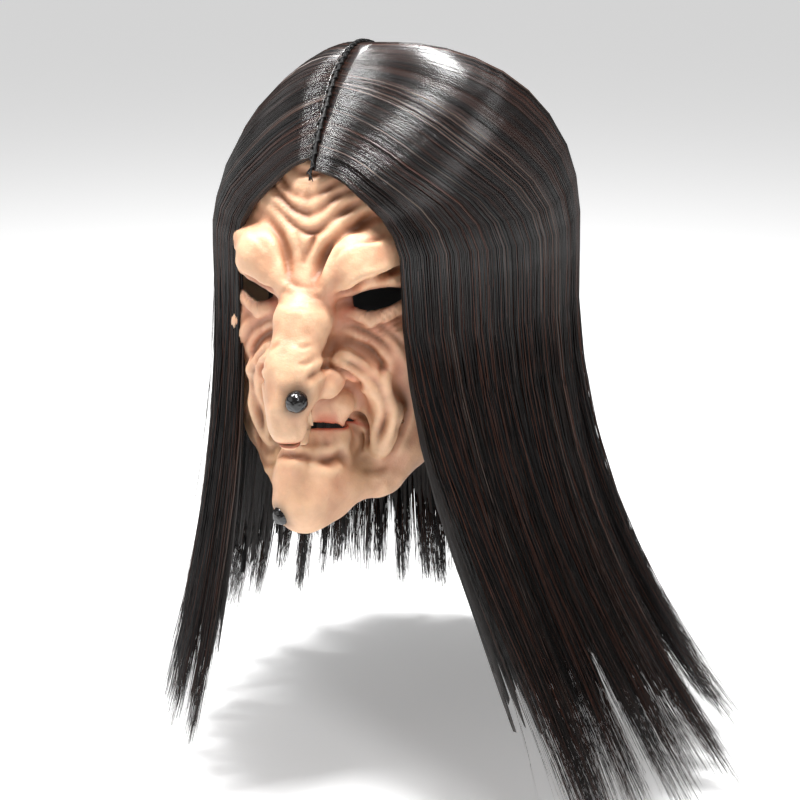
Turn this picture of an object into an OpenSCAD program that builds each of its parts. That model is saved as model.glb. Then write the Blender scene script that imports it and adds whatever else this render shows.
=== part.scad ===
// Latex hag mask with a long wig, worn over the whole head.
// +Z is up, the face looks along -Y, and +X is the wearer's left.
// The origin is the middle of the wearer's head at eye level.

/* [Wearer's head] */
// Width of the head
head_w = 155; // [135:1:175]
// Length of the head from brow to back
head_l = 195; // [170:1:220]
// Height of the crown above eye level
crown_h = 115; // [100:1:130]
// Room between the head and the mask
ease = 1; // [0.5:0.5:4]

/* [Latex face] */
// Thickness of the latex
latex_t = 2.2; // [1.5:0.1:3.5]
// Distance between the middles of the eye openings
eye_gap = 61; // [54:1:68]
// Width of an eye opening
eye_w = 33; // [24:1:38]
// Height of an eye opening
eye_h = 14; // [9:1:20]
// How far the nose stands in front of the head's middle
nose_reach = 142; // [132:1:152]
// How far the tip of the nose hangs below eye level
nose_drop = 76; // [68:1:84]
// How far the chin stands in front of the head's middle
chin_reach = 126; // [116:1:132]
// How far the chin hangs below eye level
chin_drop = 133; // [128:1:138]
// Width of the slit between the lips
mouth_w = 38; // [24:1:48]
// Height of the slit between the lips
mouth_h = 3; // [2:0.5:3.5]
// Radius of the wart on the nose
nose_wart_r = 6; // [4:0.5:8]
// Radius of the wart on the chin
chin_wart_r = 5.5; // [4:0.5:8]

/* [Wig cap] */
// Thickness of the stretch net
cap_t = 1.2; // [0.8:0.1:2]
// How far the cap reaches below eye level at the nape
nape_drop = 62; // [50:1:70]
// Thickness of a sewn tape
tape_t = 1; // [0.6:0.1:1.2]
// Width of the tapes that the hair is sewn to
weft_w = 5; // [3:0.5:8]
// Number of tapes that the hair is sewn to
weft_count = 5; // [3:1:5]
// Width of the strip under the parting
parting_w = 14; // [10:1:20]
// Thread radius of the parting stitches
thread_r = 0.5; // [0.4:0.1:0.8]

/* [Hair] */
// Height of the hair above the cap at the crown
top_fullness = 7.3; // [6.8:0.5:20]
// How far the longest hair hangs below eye level
hair_drop = 330; // [260:5:380]
// How far the hair on the wearer's right hangs below eye level
right_drop = 298; // [250:5:340]
// How far the hair stands out from the cap on the wearer's left
left_fullness = 44.3; // [32.3:0.5:50.3]
// How far the hair stands out from the cap on the wearer's right
right_fullness = 13.3; // [12.3:0.5:30.3]
// How far the hair stands out from the cap at the temples
front_fullness = 5.3; // [4.8:0.5:10.3]
// How far the hair stands out from the cap at the back
back_fullness = 14.3; // [13.3:0.5:25.3]
// Outward spread of every lock at its tip
flare = 45; // [35:1:70]
// Further spread of the locks on the wearer's left
sweep = 85; // [60:1:120]
// Width of the gap between the two halves of the crown hair
parting_gap = 7; // [5:0.5:9]
// Sideways drift of the parting towards the crown
parting_drift = 8; // [0:1:10]

/* [Elastic strap] */
// Width of the webbing
strap_w = 15; // [10:1:20]
// Thickness of the webbing
strap_t = 1.2; // [0.8:0.1:2]
// How far the strap lies below eye level
strap_drop = 74; // [66:1:80]
// How far the adjuster slides each way
slider_travel = 20; // [10:1:24]
// Thickness of the adjuster's bars
slider_bar = 2; // [1.5:0.5:3]
// Clearance between the adjuster and the webbing
slider_play = 0.4; // [0.2:0.1:0.8]

/* [Hidden] */

gap = 0.4;

// The latex follows this ellipsoid, and the cap is one net thickness of it.
skin = [head_w / 2 + ease + latex_t, head_l / 2 + ease + latex_t, crown_h + ease + latex_t];

// The face is laid out on a head of this half width and half length, and widens and deepens with it.
laid_out = [80.7, 100.7];
wider = skin.x / laid_out.x;
deeper = skin.y / laid_out.y;
function fit(place) = [place.x * wider, place.y * deeper, place.z];

// The seam between latex and cap, and the free jaw edge, in the plane of symmetry.
seam_rise = 41;
seam_top = [-skin.y * cos(seam_rise), skin.z * sin(seam_rise)];
ear = [18 * deeper, -18];
jaw_end = [-52 * deeper, -150];
seam_gap = 1.5;

// Levels above the cap's net, one layer on the next.
weft_level = gap;
tape_level = weft_level + gap;
strip_level = weft_level + tape_t + gap;
hair_level = max(strip_level, latex_t - cap_t + tape_level) + tape_t + 3 * gap;

hairline_z = seam_top.y - 5.5;
hinge_z = 10;
hinge_gap = 0.6;
hinge_bevel = 6;
hair_mid_y = 4;

// Angles of the hair's front edge, of the edge between the side and the back hair, and of the sweep.
front_angle = 60;
back_angle = 45;
sweep_angle = 20;

// Air between neighbouring locks, in degrees, and the locks' thickness at their upper ends.
air = 0.8;
edge_t = 3.5;
body_t = 8;
left_body_t = 18;

// On the wearer's right the locks fill the room above these levels over the cap instead.
right_edge_level = 9.8;
right_body_level = 5.3;

latex_color = [0.84, 0.66, 0.52];
wart_color = [0.06, 0.05, 0.05];
net_color = [0.12, 0.11, 0.11];
hair_color = [0.17, 0.12, 0.11];
elastic_color = [0.08, 0.08, 0.09];

function mix(a, b, t) = a + (b - a) * t;
function clamp01(t) = min(1, max(0, t));
function smooth(t) = let (c = clamp01(t)) c * c * (3 - 2 * c);
function steps(n) = [for (i = [0:n]) i / n];

// A closed solid between an outer and an inner grid of points, each a list of rows.
// Seen from outside, a row runs to the right and the rows go up. A ring's rows close on themselves.
module wall(outer, inner, ring = false) {
    rows = len(outer);
    cols = len(outer[0]);
    last = ring ? cols - 1 : cols - 2;
    in = rows * cols;
    points = concat([for (r = outer) each r], [for (r = inner) each r]);
    function at(j, i) = j * cols + i % cols;
    quads = concat(
        [for (j = [0:rows - 2], i = [0:last])
            [at(j, i), at(j + 1, i), at(j + 1, i + 1), at(j, i + 1)]],
        [for (j = [0:rows - 2], i = [0:last])
            [in + at(j, i), in + at(j, i + 1), in + at(j + 1, i + 1), in + at(j + 1, i)]],
        [for (i = [0:last])
            [at(0, i), at(0, i + 1), in + at(0, i + 1), in + at(0, i)]],
        [for (i = [0:last])
            [at(rows - 1, i + 1), at(rows - 1, i), in + at(rows - 1, i), in + at(rows - 1, i + 1)]],
        ring ? [] : [for (j = [0:rows - 2])
            [at(j + 1, 0), at(j, 0), in + at(j, 0), in + at(j + 1, 0)]],
        ring ? [] : [for (j = [0:rows - 2])
            [at(j, cols - 1), at(j + 1, cols - 1), in + at(j + 1, cols - 1), in + at(j, cols - 1)]]);
    triangles = [for (q = quads) each [[q[0], q[1], q[2]], [q[0], q[2], q[3]]]];
    polyhedron(points, [for (t = triangles)
        if (points[t[0]] != points[t[1]] && points[t[1]] != points[t[2]] && points[t[2]] != points[t[0]]) t]);
}

// ---------------------------------------------------------------- latex face

// The parts of the face that swell out of the ellipsoid: each is a chain of [place, radius].
nose_tip_z = 12.5 - nose_drop;
nose_ridge_y = 16 - nose_reach;
nose_bridge = fit([0, -92, 6]);
nose_chain = [
    [nose_bridge, 10.5],
    [[0, mix(nose_bridge.y, nose_ridge_y, 0.65), -24], 13.5],
    [[0, nose_ridge_y, -46], 16],
    [[0, nose_ridge_y - 1, nose_tip_z], 12.5]];
chin_chain = [
    [fit([0, -86, -100]), 20],
    [[0, 15 - chin_reach, 15 - chin_drop], 15],
    [fit([0, -76, 14 - chin_drop]), 16]];
brow_chain = [
    [fit([12, -94, 13]), 10],
    [fit([27, -89, 17]), 10.5],
    [fit([44, -69, 24]), 8.5]];
fold_chain = [
    [fit([17, -103, -46]), 9],
    [fit([33, -87, -58]), 9],
    [fit([28, -82, -92]), 9]];
upper_lip = [fit([9, -93, -62]), 11];
lower_lip = [fit([10, -94, -82]), 8.5];
nose_root = [fit([0, -88, -44]), 17];

// Balls that the face's plain surface is stretched over, besides the ellipsoid.
cheek = [fit([29, -52, -30]), 25];
jaw = [fit([30, -44, -88]), 26];
chin_base = [fit([0, -62, -108]), 26];

module ball(spot, shrink) {
    translate(spot[0]) sphere(r = spot[1] - shrink, $fn = 16);
}

module chain(spots, shrink) {
    for (i = [0:len(spots) - 2]) hull() {
        ball(spots[i], shrink);
        ball(spots[i + 1], shrink);
    }
}

module both_sides() {
    children();
    mirror([1, 0, 0]) children();
}

// The face's hollow forms. They are shrunk by the latex's thickness for its inner face.
module hollow_forms(shrink = 0) {
    hull() {
        scale(skin - [shrink, shrink, shrink]) sphere(r = 1, $fn = 36);
        both_sides() ball(cheek, shrink);
        both_sides() ball(jaw, shrink);
        ball(chin_base, shrink);
    }
    chain(nose_chain, shrink);
    chain(chin_chain, shrink);
    hull() {
        ball(nose_root, shrink);
        ball(nose_chain[2], shrink);
    }
}

// Everything inside the latex's outer face: the hollow forms, and the folds that are cast solid.
module face_mass(shrink = 0) {
    hollow_forms(shrink);
    both_sides() {
        chain(brow_chain, shrink);
        chain(fold_chain, shrink);
    }
    hull() both_sides() ball(upper_lip, shrink);
    hull() both_sides() ball(lower_lip, shrink);
}

// The side view of what is latex: in front of the seam and of the jaw edge.
module latex_region() {
    far = 300;
    rotate([90, 0, 90]) linear_extrude(height = far, center = true)
        polygon([[-far, jaw_end.y], jaw_end, ear, seam_top, [-far, seam_top.y]]);
}

module eye_openings() {
    both_sides() translate([eye_gap / 2, -skin.y, -2]) rotate([90, 0, 0])
        scale([eye_w / 2, eye_h / 2, 1]) cylinder(r = 1, h = skin.y, center = true, $fn = 24);
}

// The slit ends behind the tip of the nose, which hangs in front of it.
module mouth_slit() {
    deep = 50;
    translate([0, nose_ridge_y + nose_chain[2][1] + deep / 2, (upper_lip[0].z + lower_lip[0].z) / 2 - 1])
        cube([mouth_w, deep, mouth_h], center = true);
}

module face_shell() color(latex_color) difference() {
    intersection() {
        face_mass();
        latex_region();
    }
    hollow_forms(latex_t);
    eye_openings();
    mouth_slit();
}

// A wart sits on the latex, with a paper-thin glue gap under it.
module wart(place, radius) color(wart_color) difference() {
    translate(place) sphere(r = radius, $fn = 20);
    face_mass(-gap / 4);
}

module nose_wart() wart([9, nose_ridge_y - 12.5, -47], nose_wart_r);
module chin_wart() wart([-8, 3 - chin_reach, 13 - chin_drop], chin_wart_r);

// ---------------------------------------------------------------- cap and what is sewn to it

net = skin - [1, 1, 1] * (latex_t - cap_t);

function on_cap(angle, lift, level) = [
    (net.x + level) * cos(lift) * cos(angle),
    (net.y + level) * cos(lift) * sin(angle),
    (net.z + level) * sin(lift)];

// The lift at which the seam plane, or behind it the nape edge, crosses a meridian of the cap.
seam_slope = (ear.x - seam_top.x) / (seam_top.y - ear.y);
function seam_lift(angle) =
    let (run = seam_slope * net.z, reach = net.y * sin(angle), radius = norm([run, reach]))
    asin((ear.x + seam_slope * ear.y + seam_gap) / radius) - atan2(reach, run);
nape_lift = -asin(nape_drop / net.z);
function edge_lift(angle) = max(nape_lift, seam_lift(angle));

cap_angles = [for (i = [0:35]) i * 10];

function cap_row(share, level) =
    [for (a = cap_angles) on_cap(a, mix(edge_lift(a), 90, share), level)];

module wig_cap() color(net_color)
    wall([for (s = steps(9)) cap_row(s, 0)], [for (s = steps(9)) cap_row(s, -cap_t)], ring = true);

// A band that follows the cap's edge: from and to are lifts above the edge.
module band(angles, from, to, level, thick) {
    rows = [from, to];
    wall([for (r = rows) [for (a = angles) on_cap(a, edge_lift(a) + r, level + thick)]],
        [for (r = rows) [for (a = angles) on_cap(a, edge_lift(a) + r, level)]]);
}

degree_of_cap = net.z * PI / 180;

module hairline_tape() color(net_color)
    band([for (a = [-180:10:0]) a], -3, 3, latex_t - cap_t + tape_level, tape_t);

module nape_band() color(elastic_color)
    band([for (a = [60:10:120]) a], 0, 6, weft_level, tape_t);

// Row k of the sewn tapes runs round the cap a share of the way up from its edge to the top.
module weft(k) {
    share = 0.17 + 0.145 * (k - 1);
    high = weft_w / degree_of_cap;
    function row(rise, level) =
        [for (a = [-70:10:250]) on_cap(a, mix(edge_lift(a), 90, share) + rise, level)];
    color(net_color) wall([row(0, weft_level + tape_t), row(high, weft_level + tape_t)],
        [row(0, weft_level), row(high, weft_level)]);
}

// The parting wanders sideways from the hairline to the crown.
function drift(y) = -parting_drift * clamp01((y + 70) / 80);

function on_parting(lift, side, level) =
    let (p = on_cap(-90, lift, level)) [drift(p.y) + side, p.y, p.z];

strip_lifts = [for (l = [47:8:119]) l];

module parting_strip() color(net_color) {
    sides = [-parting_w / 2, parting_w / 2];
    wall([for (l = strip_lifts) [for (s = sides) on_parting(l, s, strip_level + tape_t)]],
        [for (l = strip_lifts) [for (s = sides) on_parting(l, s, strip_level)]]);
}

stitch_count = 22;
stitch_slant = 32;

module parting_stitches() color(wart_color)
    for (i = [0:stitch_count - 1]) {
        lift = mix(strip_lifts[0] + 1, 103, (i + 0.5) / stitch_count);
        translate(on_parting(lift, 0, strip_level + tape_t + thread_r + 2 * gap))
            rotate([lift - 90, 0, 0])
            rotate([0, 0, i % 2 == 0 ? stitch_slant : -stitch_slant])
            rotate([0, 90, 0])
            cylinder(r = thread_r, h = parting_gap - 6 * thread_r, center = true, $fn = 16);
    }

// ---------------------------------------------------------------- elastic strap at the nape

slider_length = 16;
strap_straight = slider_travel + slider_length / 2 + 6;
strap_half = 0.861 * skin.x;
strap_bend = strap_half - strap_straight;
strap_back = 0.772 * net.y;
strap_front = -22;

// The line of the webbing seen from above, as a band of the given thickness.
module strap_outline(thick) {
    translate([-strap_straight, strap_back]) square([2 * strap_straight, thick]);
    both_sides() {
        translate([strap_straight, strap_back - strap_bend]) intersection() {
            difference() {
                circle(r = strap_bend + thick, $fn = 64);
                circle(r = strap_bend, $fn = 64);
            }
            square(strap_bend + thick);
        }
        translate([strap_half, strap_front]) square([thick, strap_back - strap_bend - strap_front]);
    }
}

module elastic_strap() color(elastic_color)
    translate([0, 0, -strap_drop - strap_w / 2])
    linear_extrude(height = strap_w) strap_outline(strap_t);

// The patch that reinforces the latex where the strap is sewn on lies inside the strap's end.
module strap_patch() color(net_color)
    translate([strap_half - gap - tape_t, strap_front - 6, -strap_drop - strap_w / 2 - 3])
    cube([tape_t, 24, strap_w + 6]);

module strap_patch_left() strap_patch();
module strap_patch_right() mirror([1, 0, 0]) strap_patch();

// A three-bar adjuster: the webbing runs over its middle bar and under the outer two.
module strap_slider() color(wart_color) {
    rail = 2.5;
    inner_h = strap_w + 2 * slider_play;
    depth = strap_t + 2 * slider_play;
    translate([0, strap_back + strap_t / 2, -strap_drop]) {
        for (s = [-1, 1]) translate([0, 0, s * (inner_h + rail) / 2])
            cube([slider_length, depth + 2 * slider_bar, rail], center = true);
        for (s = [-1, 1])
            translate([s * (slider_length - slider_bar) / 2, (depth + slider_bar) / 2, 0])
            cube([slider_bar, slider_bar, inner_h], center = true);
        translate([0, -(depth + slider_bar) / 2, 0])
            cube([slider_bar, slider_bar, inner_h], center = true);
    }
}

// ---------------------------------------------------------------- hair

hair_top = net.z + top_fullness;
hair_left = net.x + left_fullness;
hair_right = net.x + right_fullness;
hair_front = net.y + front_fullness;
hair_back = net.y + back_fullness;

// Angles run round the head from above: 0 at the left ear, 90 at the back, 180 at the right ear.
function in_front(angle) = asin(-sin(angle));
function half_width(angle) = cos(angle) > 0 ? hair_left : hair_right;

// Half the gap at the parting, which closes behind the crown.
function part_half(y) = mix(parting_gap / 2, gap, smooth((y - 25) / 40));

// The height of the crown hair's lower edge: it arches from the temple up to the parting.
function crown_low(angle) =
    let (share = clamp01((in_front(angle) - front_angle) / (90 - front_angle)))
    mix(hinge_z, hairline_z, sin(90 * pow(share, 0.75)));

// The height of a point a share of the way up to a top, where all meridians meet in one point.
function climb(low, top, share) = share == 1 ? top : mix(low, top, sin(90 * share));

// How boxy the crown is from in front: 2 is an ellipse, and the right lies closer to the head.
left_round = 2.4;
right_round = 1.75;

function crown_outer(angle, share, side) =
    let (z = climb(crown_low(angle), hair_top, share),
        h = clamp01((z - hinge_z) / (hair_top - hinge_z)),
        round = side > 0 ? left_round : right_round,
        across = pow(1 - pow(h, round), 1 / round),
        along = sqrt(1 - h * h),
        deep = sin(angle) < 0 ? hair_front + 4 * smooth((z - hinge_z) / 25) : hair_back,
        y = hair_mid_y + deep * along * sin(angle),
        wide = (half_width(angle) - part_half(y)) * across * cos(angle))
    [side * part_half(y) + wide + drift(y) * pow(1 - abs(cos(angle)) * across, 3), y, z];

function crown_inner(angle, share, side) =
    let (z = climb(crown_low(angle), net.z + hair_level, share),
        lift = asin(min(1, z / (net.z + hair_level))),
        y = (net.y + hair_level) * cos(lift) * sin(angle),
        wide = (net.x + hair_level - part_half(y)) * cos(lift) * cos(angle))
    [side * part_half(y) + wide + drift(y) * pow(1 - abs(cos(angle)) * cos(lift), 3), y, z];

module crown_hair(side) {
    angles = [for (i = [0:15]) (side > 0 ? -90 : 90) + i * 12];
    color(hair_color) wall([for (s = steps(7)) [for (a = angles) crown_outer(a, s, side)]],
        [for (s = steps(7)) [for (a = angles) crown_inner(a, s, side)]]);
}

module crown_hair_left() crown_hair(1);
module crown_hair_right() crown_hair(-1);

// How far a lock's outer face has moved out, a share of the way from the hinge level to its tip.
function spread(angle, share) =
    (flare + sweep * pow(max(0, cos(angle - sweep_angle)), 2)) * pow(share, 2);

function lock_thickness(angle, share) =
    let (right = cos(angle) < 0,
        edge = right ? right_fullness - right_edge_level : edge_t,
        body = right ? right_fullness - right_body_level : body_t + left_body_t * cos(angle),
        full = mix(edge, body, clamp01((front_angle - in_front(angle)) / 80)))
    mix(full, min(full, 10), share) * (share == 1 ? 0.4 : 1);

function lock_drop(angle) = mix(right_drop, hair_drop, clamp01((cos(angle) + 0.5) / 1));

function lock_point(angle, share, inset, bevel) =
    let (out = spread(angle, share) - inset,
        wide = half_width(angle) + out,
        deep = (sin(angle) < 0 ? hair_front : hair_back) + out)
    [wide * cos(angle), hair_mid_y + deep * sin(angle),
        mix(hinge_z - hinge_gap, -lock_drop(angle), share) - bevel];

// Rows from the tip up to the hinge level, where the outer corner is cut away to clear the crown hair.
lock_shares = [1, 0.81, 0.63, 0.46, 0.3, 0.16, 0.06, 0];

// A lock hangs between two edges, each a pair of angles: at the hinge level and at the tip.
module lock(from, to) {
    cols = 4;
    function angle(i, s) =
        let (first = mix(from[0], from[1], smooth(s)), last = mix(to[0], to[1], smooth(s)))
        mix(first + air / 2, last - air / 2, i / cols);
    color(hair_color)
        wall([for (s = lock_shares) [for (i = [0:cols])
                lock_point(angle(i, s), s, 0, s == 0 ? hinge_bevel : 0)]],
            [for (s = lock_shares) [for (i = [0:cols])
                lock_point(angle(i, s), s, lock_thickness(angle(i, s), s), 0)]]);
}

module front_lock_left() lock([-front_angle, -30], [-24, -4]);
module side_lock_left() lock([-24, -4], [14, 20]);
module rear_lock_left() lock([14, 20], [back_angle, back_angle]);
module back_lock_left() lock([back_angle, back_angle], [76, 76]);
module back_lock_middle() lock([76, 76], [104, 104]);
module back_lock_right() lock([104, 104], [180 - back_angle, 180 - back_angle]);
module side_lock_right() lock([180 - back_angle, 180 - back_angle], [190, 192]);
module front_lock_right() lock([190, 192], [180 + front_angle, 232]);

face_shell();
nose_wart();
chin_wart();
hairline_tape();
wig_cap();
nape_band();
parting_strip();
parting_stitches();
for (k = [1:weft_count]) weft(k);
strap_patch_left();
strap_patch_right();
elastic_strap();
strap_slider();
crown_hair_left();
crown_hair_right();
front_lock_left();
side_lock_left();
rear_lock_left();
front_lock_right();
side_lock_right();
back_lock_left();
back_lock_middle();
back_lock_right();
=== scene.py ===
"""Looks of the latex hag mask with its long wig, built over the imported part."""
import math

import bmesh
import bpy
import numpy as np
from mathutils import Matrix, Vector


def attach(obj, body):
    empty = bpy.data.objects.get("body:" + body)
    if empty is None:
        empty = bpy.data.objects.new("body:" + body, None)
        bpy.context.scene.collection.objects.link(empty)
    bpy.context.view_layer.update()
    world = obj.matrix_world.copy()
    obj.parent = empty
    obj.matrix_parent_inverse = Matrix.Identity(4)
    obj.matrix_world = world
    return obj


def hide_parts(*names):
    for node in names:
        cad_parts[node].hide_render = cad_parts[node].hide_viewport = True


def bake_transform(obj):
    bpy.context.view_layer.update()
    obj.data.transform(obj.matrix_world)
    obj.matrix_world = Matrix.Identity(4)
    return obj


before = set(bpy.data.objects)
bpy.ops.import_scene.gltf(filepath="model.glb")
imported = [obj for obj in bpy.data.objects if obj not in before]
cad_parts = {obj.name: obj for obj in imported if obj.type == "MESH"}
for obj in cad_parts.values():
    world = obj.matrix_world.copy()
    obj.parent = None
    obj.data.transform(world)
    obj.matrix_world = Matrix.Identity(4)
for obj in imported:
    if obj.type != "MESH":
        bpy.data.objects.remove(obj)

bl_info = {
    "name": "Hag Mask",
    "version": (1, 0, 0),
    "blender": (4, 5, 0),
    "location": "3D View > Sidebar > Hag Mask",
    "description": "Builds the latex face, the long hair and the fittings of a hag mask",
    "category": "Object",
}

MM = 0.001

# Form of the part, in millimetres, as the CAD nodes have it.
SKIN = np.array([80.7, 100.7, 118.2])
NET = SKIN - 1.0
SEAM_TOP = (-76.0, 77.55)
EAR = (18.0, -18.0)
JAW_END = (-52.0, -150.0)
NOSE_WART = (9.0, -138.5, -47.0)
CHIN_WART = (-8.0, -123.0, -120.0)

HINGE_Z = 10.0
HAIR_TOP = 124.5
HAIR_MID_Y = 4.0
HAIR_LEFT, HAIR_RIGHT = 124.0, 93.0
LEFT_ROUND, RIGHT_ROUND = 2.4, 1.75
HAIR_FRONT, HAIR_BACK = 105.0, 114.0
HAIR_DROP, RIGHT_DROP = 328.0, 298.0
FLARE, SWEEP, SWEEP_ANGLE = 45.0, 85.0, 20.0
PARTING_GAP, PARTING_DRIFT = 1.2, 8.0

NET_THICKNESS, TAPE_THICKNESS = 1.2, 1.0
WEFT_COUNT, WEFT_WIDTH, WEFT_START, WEFT_STEP = 5, 5.0, 0.17, 0.145
STRAP_WIDTH, STRAP_THICKNESS, STRAP_Z = 15.0, 1.2, -74.0
STRAP_HALF, STRAP_STRAIGHT = 0.861 * SKIN[0], 34.0
STRAP_BACK, STRAP_FRONT = 0.772 * NET[1], -22.0


def mix(a, b, t):
    return a + (b - a) * t


def clamp01(t):
    return np.clip(t, 0.0, 1.0)


def smooth(t):
    c = clamp01(t)
    return c * c * (3 - 2 * c)


def linear(r, g, b):
    """A colour given as a screen shows it, from 0 to 255, as Blender's linear RGB."""
    out = []
    for c in (r / 255, g / 255, b / 255):
        out.append(c / 12.92 if c <= 0.04045 else ((c + 0.055) / 1.055) ** 2.4)
    return np.array(out)


def ripple(points, wavelength, seed):
    """Smooth irregular values of about -1 to 1 over points, as a sum of plane waves."""
    rng = np.random.default_rng(seed)
    total = np.zeros(len(points))
    for _ in range(12):
        way = rng.normal(size=3)
        way /= np.linalg.norm(way) * wavelength * rng.uniform(0.7, 1.5)
        total += np.sin(points @ way * 2 * math.pi + rng.uniform(0, 2 * math.pi))
    return total / 4.5


# ---------------------------------------------------------------- materials


def new_material(name):
    material = bpy.data.materials.new(name)
    material.use_nodes = True
    return material, material.node_tree, material.node_tree.nodes["Principled BSDF"]


def add_node(tree, kind, **settings):
    node = tree.nodes.new(kind)
    for key, value in settings.items():
        setattr(node, key, value)
    return node


def bump_from(tree, shader, height, strength, distance):
    bump = add_node(tree, "ShaderNodeBump")
    bump.inputs["Strength"].default_value = strength
    bump.inputs["Distance"].default_value = distance
    tree.links.new(height, bump.inputs["Height"])
    tree.links.new(bump.outputs["Normal"], shader.inputs["Normal"])
    return bump


def object_noise(tree, scale, detail, roughness=0.5):
    coords = add_node(tree, "ShaderNodeTexCoord")
    noise = add_node(tree, "ShaderNodeTexNoise")
    noise.inputs["Scale"].default_value = scale
    noise.inputs["Detail"].default_value = detail
    noise.inputs["Roughness"].default_value = roughness
    tree.links.new(coords.outputs["Object"], noise.inputs["Vector"])
    return noise.outputs["Fac"]


def latex_material():
    material, tree, shader = new_material("Painted latex")
    paint_and_shade = add_node(tree, "ShaderNodeAttribute", attribute_name="Paint")
    mottle = add_node(tree, "ShaderNodeMapRange")
    mottle.inputs["From Min"].default_value = 0.3
    mottle.inputs["From Max"].default_value = 0.7
    mottle.inputs["To Min"].default_value = 0.9
    mottle.inputs["To Max"].default_value = 1.06
    tree.links.new(object_noise(tree, 120, 5, 0.65), mottle.inputs["Value"])
    tint = add_node(tree, "ShaderNodeMix", data_type="RGBA", blend_type="MULTIPLY")
    tint.inputs["Factor"].default_value = 1.0
    tree.links.new(paint_and_shade.outputs["Color"], tint.inputs[6])
    tree.links.new(mottle.outputs["Result"], tint.inputs[7])
    tree.links.new(tint.outputs[2], shader.inputs["Base Color"])
    shader.inputs["Roughness"].default_value = 0.47
    shader.inputs["Specular IOR Level"].default_value = 0.42
    shader.inputs["Subsurface Weight"].default_value = 0.22
    shader.inputs["Subsurface Radius"].default_value = (1.0, 0.42, 0.22)
    shader.inputs["Subsurface Scale"].default_value = 0.0035
    coarse = object_noise(tree, 260, 6, 0.6)
    fine = object_noise(tree, 1100, 3, 0.5)
    both = add_node(tree, "ShaderNodeMath", operation="MULTIPLY_ADD")
    both.inputs[1].default_value = 0.35
    tree.links.new(fine, both.inputs[0])
    tree.links.new(coarse, both.inputs[2])
    bump_from(tree, shader, both.outputs["Value"], 0.5, 0.0009)
    return material


def plain_material(name, colour, roughness, specular=0.5, bump=None):
    material, tree, shader = new_material(name)
    shader.inputs["Base Color"].default_value = (*colour, 1)
    shader.inputs["Roughness"].default_value = roughness
    shader.inputs["Specular IOR Level"].default_value = specular
    if bump:
        scale, distance = bump
        bump_from(tree, shader, object_noise(tree, scale, 3), 0.6, distance)
    return material


HAIR_TONES = (
    ("Hair black", (0.003, 0.0025, 0.0024), 0.2),
    ("Hair dark brown", (0.009, 0.0055, 0.0045), 0.2),
    ("Hair red brown", (0.042, 0.015, 0.009), 0.22),
    ("Hair grey brown", (0.075, 0.052, 0.043), 0.22),
    ("Hair silver", (0.4, 0.36, 0.34), 0.22),
)


def strand_material(name, colour, roughness):
    """A strand of hair, which shines at the crown and is duller where it hangs."""
    material, tree, shader = new_material(name)
    shader.inputs["Base Color"].default_value = (*colour, 1)
    shader.inputs["Roughness"].default_value = roughness
    coords = add_node(tree, "ShaderNodeTexCoord")
    parts = add_node(tree, "ShaderNodeSeparateXYZ")
    shine = add_node(tree, "ShaderNodeMapRange")
    shine.inputs["From Min"].default_value = -0.04
    shine.inputs["From Max"].default_value = 0.07
    shine.inputs["To Min"].default_value = 0.2
    shine.inputs["To Max"].default_value = 1.0
    tree.links.new(coords.outputs["Object"], parts.inputs["Vector"])
    tree.links.new(parts.outputs["Z"], shine.inputs["Value"])
    tree.links.new(shine.outputs["Result"], shader.inputs["Specular IOR Level"])
    return material


def hair_mass_material():
    """The mass under the loose strands: fine streaks that run along its own UV map."""
    material, tree, shader = new_material("Hair mass")
    flow = add_node(tree, "ShaderNodeUVMap", uv_map="Flow")
    stretch = add_node(tree, "ShaderNodeVectorMath", operation="MULTIPLY")
    stretch.inputs[1].default_value = (420.0, 1.6, 1.0)
    tree.links.new(flow.outputs["UV"], stretch.inputs[0])
    noise = add_node(tree, "ShaderNodeTexNoise")
    noise.inputs["Scale"].default_value = 3.0
    noise.inputs["Detail"].default_value = 6.0
    noise.inputs["Roughness"].default_value = 0.75
    tree.links.new(stretch.outputs["Vector"], noise.inputs["Vector"])
    ramp = add_node(tree, "ShaderNodeValToRGB")
    ramp.color_ramp.elements[0].position = 0.35
    ramp.color_ramp.elements[0].color = (0.002, 0.0015, 0.0014, 1)
    ramp.color_ramp.elements[1].position = 0.75
    ramp.color_ramp.elements[1].color = (0.032, 0.021, 0.017, 1)
    tree.links.new(noise.outputs["Fac"], ramp.inputs["Fac"])
    tree.links.new(ramp.outputs["Color"], shader.inputs["Base Color"])
    shader.inputs["Roughness"].default_value = 0.42
    bump_from(tree, shader, noise.outputs["Fac"], 0.9, 0.0012)
    return material


# ---------------------------------------------------------------- meshes


def mesh_object(name, vertices, faces, material, smooth_shaded=True):
    mesh = bpy.data.meshes.new(name)
    vertices = np.asarray(vertices, np.float32)
    faces = np.asarray(faces, np.int32)
    mesh.vertices.add(len(vertices))
    mesh.vertices.foreach_set("co", vertices.ravel())
    mesh.loops.add(faces.size)
    mesh.loops.foreach_set("vertex_index", faces.ravel())
    mesh.polygons.add(len(faces))
    corners = faces.shape[1]
    mesh.polygons.foreach_set("loop_start", np.arange(len(faces), dtype=np.int32) * corners)
    mesh.polygons.foreach_set("use_smooth", np.full(len(faces), smooth_shaded))
    mesh.update(calc_edges=True)
    made = bpy.data.objects.new(name, mesh)
    bpy.context.scene.collection.objects.link(made)
    if material:
        mesh.materials.append(material)
    return made


def set_uv(made, name, per_vertex):
    """A UV map that gives every corner of a face the place of its vertex."""
    layer = made.data.uv_layers.new(name=name)
    corner = np.zeros(len(made.data.loops), np.int32)
    made.data.loops.foreach_get("vertex_index", corner)
    layer.data.foreach_set("uv", per_vertex[corner].astype(np.float32).ravel())


def turn_outward(mesh):
    """Turns the normals of a closed mesh outward."""
    fix = bmesh.new()
    fix.from_mesh(mesh)
    bmesh.ops.recalc_face_normals(fix, faces=fix.faces)
    fix.to_mesh(mesh)
    fix.free()


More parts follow.
